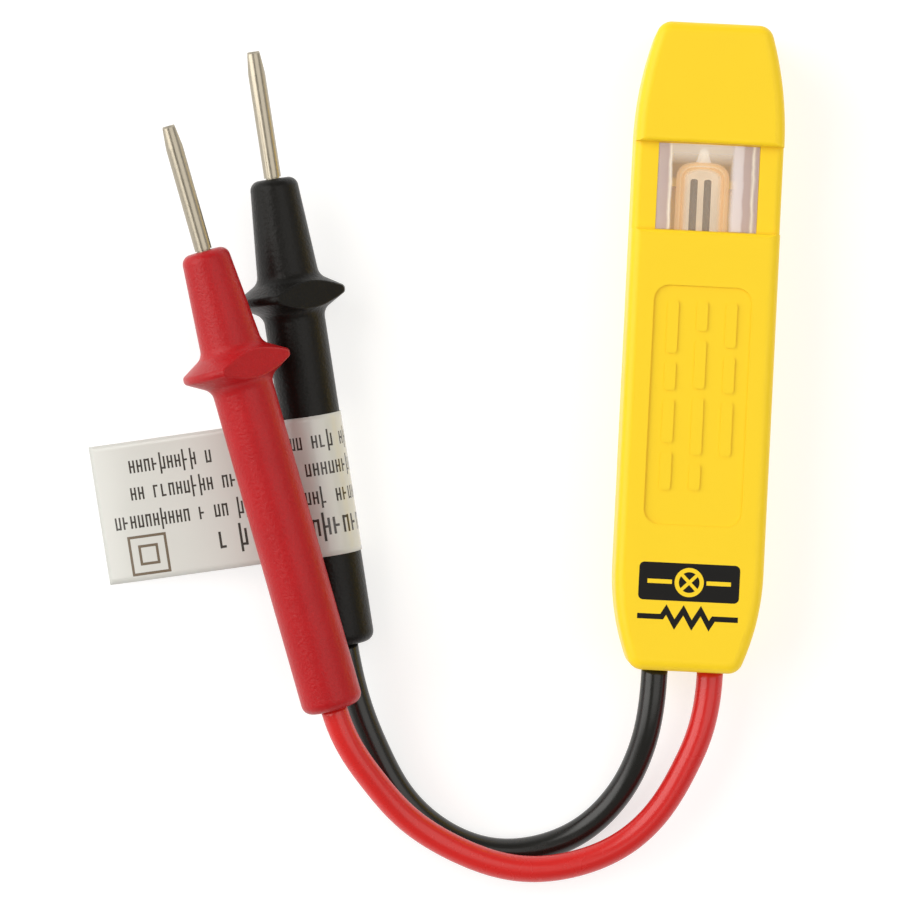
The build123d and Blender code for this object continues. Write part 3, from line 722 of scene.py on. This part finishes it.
class TESTER_OT_mark(bpy.types.Operator):
    """Print a lamp symbol and a resistor symbol on the front"""

    bl_idname = "tester.mark"
    bl_label = "Printed mark"

    def execute(self, context):
        ink = Finish("black_printing_ink", Specular_IOR_Level=0.2)
        grain = ink.noise(ink.place(), 5.0, 3)
        ink.set("Base Color", ink.mix(grain, shade(colours().ink, 0.7), shade(colours().ink, 1.6)))
        ink.set("Roughness", ink.spread(grain, 0.4, 0.55))
        ink.bump(grain, 0.004)
        half, height = sizes().mark_width / MM / 2, sizes().mark_height / MM
        panel_half, panel_corner = 2.2, 0.6
        lamp, line = 1.45, 0.5
        bar_starts, bar_ends = lamp + 0.55, half - 1
        zigzag_foot, zigzag_swing, zigzag_line = 1.1, 0.85, 0.62
        middle = height / 2 - panel_half
        outlines = [
            rounded_outline(half, panel_half, panel_corner, middle),
            ring_outline(lamp + line / 2, 0, middle),
        ]
        for quarter in range(4):
            outlines.append(sector_outline(lamp - line / 2, quarter, line * 0.8, middle))
        for side in (-1, 1):
            outlines.append(
                bar_outline((side * bar_starts, middle), (side * bar_ends, middle), line)
            )
        outlines.append(
            zigzag_outline(half, -height / 2 + zigzag_foot, zigzag_swing, zigzag_line)
        )
        mark = printed_shape(
            "front_mark",
            outlines,
            (0, sizes().mark_centre, (HOUSING_FACE + INK_DEPTH / 2) * MM),
        )
        mark.data.materials.append(ink.material)
        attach(mark, "housing")
        return {"FINISHED"}


class TESTER_OT_lamp(bpy.types.Operator):
    """Finish the lens, the neon bulb and its electrodes and wires"""

    bl_idname = "tester.lamp"
    bl_label = "Lamp and lens"

    def execute(self, context):
        paint("lens", clear_lens())
        paint("neon_bulb", lamp_glass())
        rods = moulded_plastic("sleeved_electrode", colours().electrode, 0.5, 2.0, 0.02, 0.3)
        paint("lamp_electrodes", rods)
        tinned = bare_metal("tinned_wire", (0.6, 0.6, 0.6), 0.3, (1, 0.1, 1))
        for node in ("lamp_wires", "resistor_wires"):
            paint(node, tinned)
        return {"FINISHED"}


class TESTER_OT_wiring(bpy.types.Operator):
    """Finish the resistor, the crimps, the sleeve and the leads' hidden ends"""

    bl_idname = "tester.wiring"
    bl_label = "Hidden wiring"

    def execute(self, context):
        brass = bare_metal("crimped_brass", (0.62, 0.50, 0.28), 0.3, (1, 0.2, 1))
        copper = bare_metal("copper_strands", (0.75, 0.36, 0.2), 0.28, (1, 0.1, 1))
        paint("splice_crimps", brass)
        paint("splice_sleeve", moulded_plastic("shrunk_sleeve", (0.02, 0.02, 0.02), 0.5, 3.0, 0.02))
        body = Finish("resistor_lacquer", Specular_IOR_Level=0.5)
        where = body.place()
        wave_per_mm, band_edge = 2.6, 0.72
        along = body.node("SeparateXYZ", Vector=where).outputs[1]
        stripe = body.math("SINE", body.math("MULTIPLY", along, wave_per_mm))
        bands = body.math("GREATER_THAN", stripe, band_edge)
        body.set("Base Color", body.mix(bands, (0.62, 0.44, 0.24, 1), (0.12, 0.03, 0.02, 1)))
        body.set("Roughness", body.spread(body.noise(where, 1.0), 0.25, 0.4))
        paint("ballast_resistor", body)
        for colour in COLOURS:
            paint(f"{colour}_crimp_barrel", brass)
            for end in ("handle", "housing"):
                paint(f"{colour}_strands_in_{end}", copper)
        return {"FINISHED"}


class TESTER_OT_probes(bpy.types.Operator):
    """Finish the probe handles in satin plastic and the pins in nickel"""

    bl_idname = "tester.probes"
    bl_label = "Probes"

    def execute(self, context):
        nickel = bare_metal("nickel_plate", colours().nickel, 0.27, (1, 0.08, 1), 5.0)
        for colour, gloss in zip(COLOURS, (0.2, 0.27)):
            grip = moulded_plastic(
                f"{colour}_satin_grip",
                getattr(colours(), f"{colour}_handle"),
                roughness=0.34,
                grain=2.6,
                grain_depth=0.07,
                mottle=0.22,
                gloss=gloss,
            )
            paint(f"{colour}_probe_handle", grip)
            paint(f"{colour}_probe_pin", nickel)
        return {"FINISHED"}


class TESTER_OT_leads(bpy.types.Operator):
    """Lay the two flexible leads from the housing to the probes"""

    bl_idname = "tester.leads"
    bl_label = "Leads"

    def execute(self, context):
        for colour in COLOURS:
            line = route_line(ROUTES[colour])
            diameter = sizes().lead_diameter
            lead = tube(f"{colour}_lead", line, diameter / 2)
            finish = lead_insulation(f"{colour}_insulation", getattr(colours(), f"{colour}_lead"))
            lead.data.materials.append(finish.material)
            for end in ("handle", "housing"):
                paint(f"{colour}_lead_in_{end}", finish)
            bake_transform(lead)
            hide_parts(f"{colour}_lead_housing_side", f"{colour}_lead_probe_side")
        return {"FINISHED"}


class TESTER_OT_label(bpy.types.Operator):
    """Wrap the caution label round the black handle with its flag to the left"""

    bl_idname = "tester.label"
    bl_label = "Caution label"

    def execute(self, context):
        label, flat = label_strip()
        label.data.materials.append(label_film().material)
        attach(label, "black_probe")
        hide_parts("caution_label")
        return {"FINISHED"}


class TESTER_OT_stage(bpy.types.Operator):
    """Set the pale floor, the soft lights and the camera"""

    bl_idname = "tester.stage"
    bl_label = "Stage"

    def execute(self, context):
        scene = context.scene
        setup = scene.tester_stage
        scene.view_settings.view_transform = "Standard"
        mesh = bpy.data.meshes.new("floor")
        reach, floor_glow = 3.0, 0.62
        corners = [(-reach, -reach), (reach, -reach), (reach, reach), (-reach, reach)]
        mesh.from_pydata([(x, y, -FLOOR_DROP * MM) for x, y in corners], [], [(0, 1, 2, 3)])
        floor = new_piece("floor", mesh)
        pale = Finish("pale_floor", Specular_IOR_Level=0.1)
        cloud = pale.noise(pale.place(), 0.01, 2)
        pale.set("Base Color", pale.mix(cloud, shade(setup.floor, 0.99), shade(setup.floor, 1.01)))
        pale.set("Roughness", 0.8)
        pale.set("Emission Color", (1, 1, 1, 1))
        pale.set("Emission Strength", floor_glow)
        mesh.materials.append(pale.material)

        target = Vector((setup.view_x, setup.view_y, setup.view_plane))
        softbox_side, softbox_colour = 1.3, (1.0, 0.985, 0.96)
        softboxes = (
            ("left softbox", (-1.0, 0.2, 0.8), setup.left_power),
            ("right softbox", (0.55, 0.1, 1.15), setup.right_power),
        )
        for name, place, power in softboxes:
            data = bpy.data.lights.new(name, "AREA")
            data.size = softbox_side
            data.energy = power
            data.color = softbox_colour
            light = bpy.data.objects.new(name, data)
            light.location = place
            light.rotation_euler = (Vector(place) - target).to_track_quat("Z", "Y").to_euler()
            scene.collection.objects.link(light)

        world = bpy.data.worlds.new("studio")
        scene.world = world
        world.use_nodes = True
        nodes, links = world.node_tree.nodes, world.node_tree.links
        split = nodes.new("ShaderNodeSeparateXYZ")
        links.new(nodes.new("ShaderNodeTexCoord").outputs["Generated"], split.inputs[0])
        ramp = nodes.new("ShaderNodeValToRGB")
        stops = ramp.color_ramp.elements
        stops[0].position, stops[0].color = 0.0, (1.0, 1.0, 1.0, 1)
        stops[1].position, stops[1].color = 0.45, (0.30, 0.29, 0.27, 1)
        links.new(split.outputs["Z"], ramp.inputs["Fac"])
        links.new(ramp.outputs["Color"], nodes["Background"].inputs["Color"])

        lens = bpy.data.cameras.new("camera")
        lens.lens = setup.lens
        lens.sensor_width = 36.0
        distance = setup.view_width * setup.lens / lens.sensor_width
        camera = bpy.data.objects.new("camera", lens)
        camera.location = target + Vector((0, 0, distance))
        camera.rotation_euler = (0, 0, setup.view_turn)
        lens.clip_start, lens.clip_end = 0.01, 20
        scene.collection.objects.link(camera)
        scene.camera = camera
        return {"FINISHED"}


OPERATORS = (
    TESTER_OT_stage,
    TESTER_OT_housing,
    TESTER_OT_mark,
    TESTER_OT_lamp,
    TESTER_OT_wiring,
    TESTER_OT_probes,
    TESTER_OT_leads,
    TESTER_OT_label,
)


class TESTER_PT_panel(bpy.types.Panel):
    """The tester's steps and settings in the sidebar"""

    bl_idname = "TESTER_PT_panel"
    bl_label = "Circuit test light"
    bl_space_type = "VIEW_3D"
    bl_region_type = "UI"
    bl_category = "Tester"

    def draw(self, context):
        for operator in OPERATORS:
            self.layout.operator(operator.bl_idname)
        scene = context.scene
        for group in (scene.tester_sizes, scene.tester_colours, scene.tester_stage):
            box = self.layout.box()
            for name in group.__annotations__:
                box.prop(group, name)


GROUPS = {
    "tester_colours": TesterColours,
    "tester_sizes": TesterSizes,
    "tester_stage": StageSettings,
}


def register():
    for kind in (*GROUPS.values(), *OPERATORS, TESTER_PT_panel):
        bpy.utils.register_class(kind)
    for name, group in GROUPS.items():
        setattr(bpy.types.Scene, name, bpy.props.PointerProperty(type=group))


def unregister():
    for name in GROUPS:
        delattr(bpy.types.Scene, name)
    for kind in (TESTER_PT_panel, *reversed(OPERATORS), *GROUPS.values()):
        bpy.utils.unregister_class(kind)


def main():
    register()
    for operator in OPERATORS:
        family, name = operator.bl_idname.split(".")
        getattr(getattr(bpy.ops, family), name)()


if __name__ == "__main__":
    main()
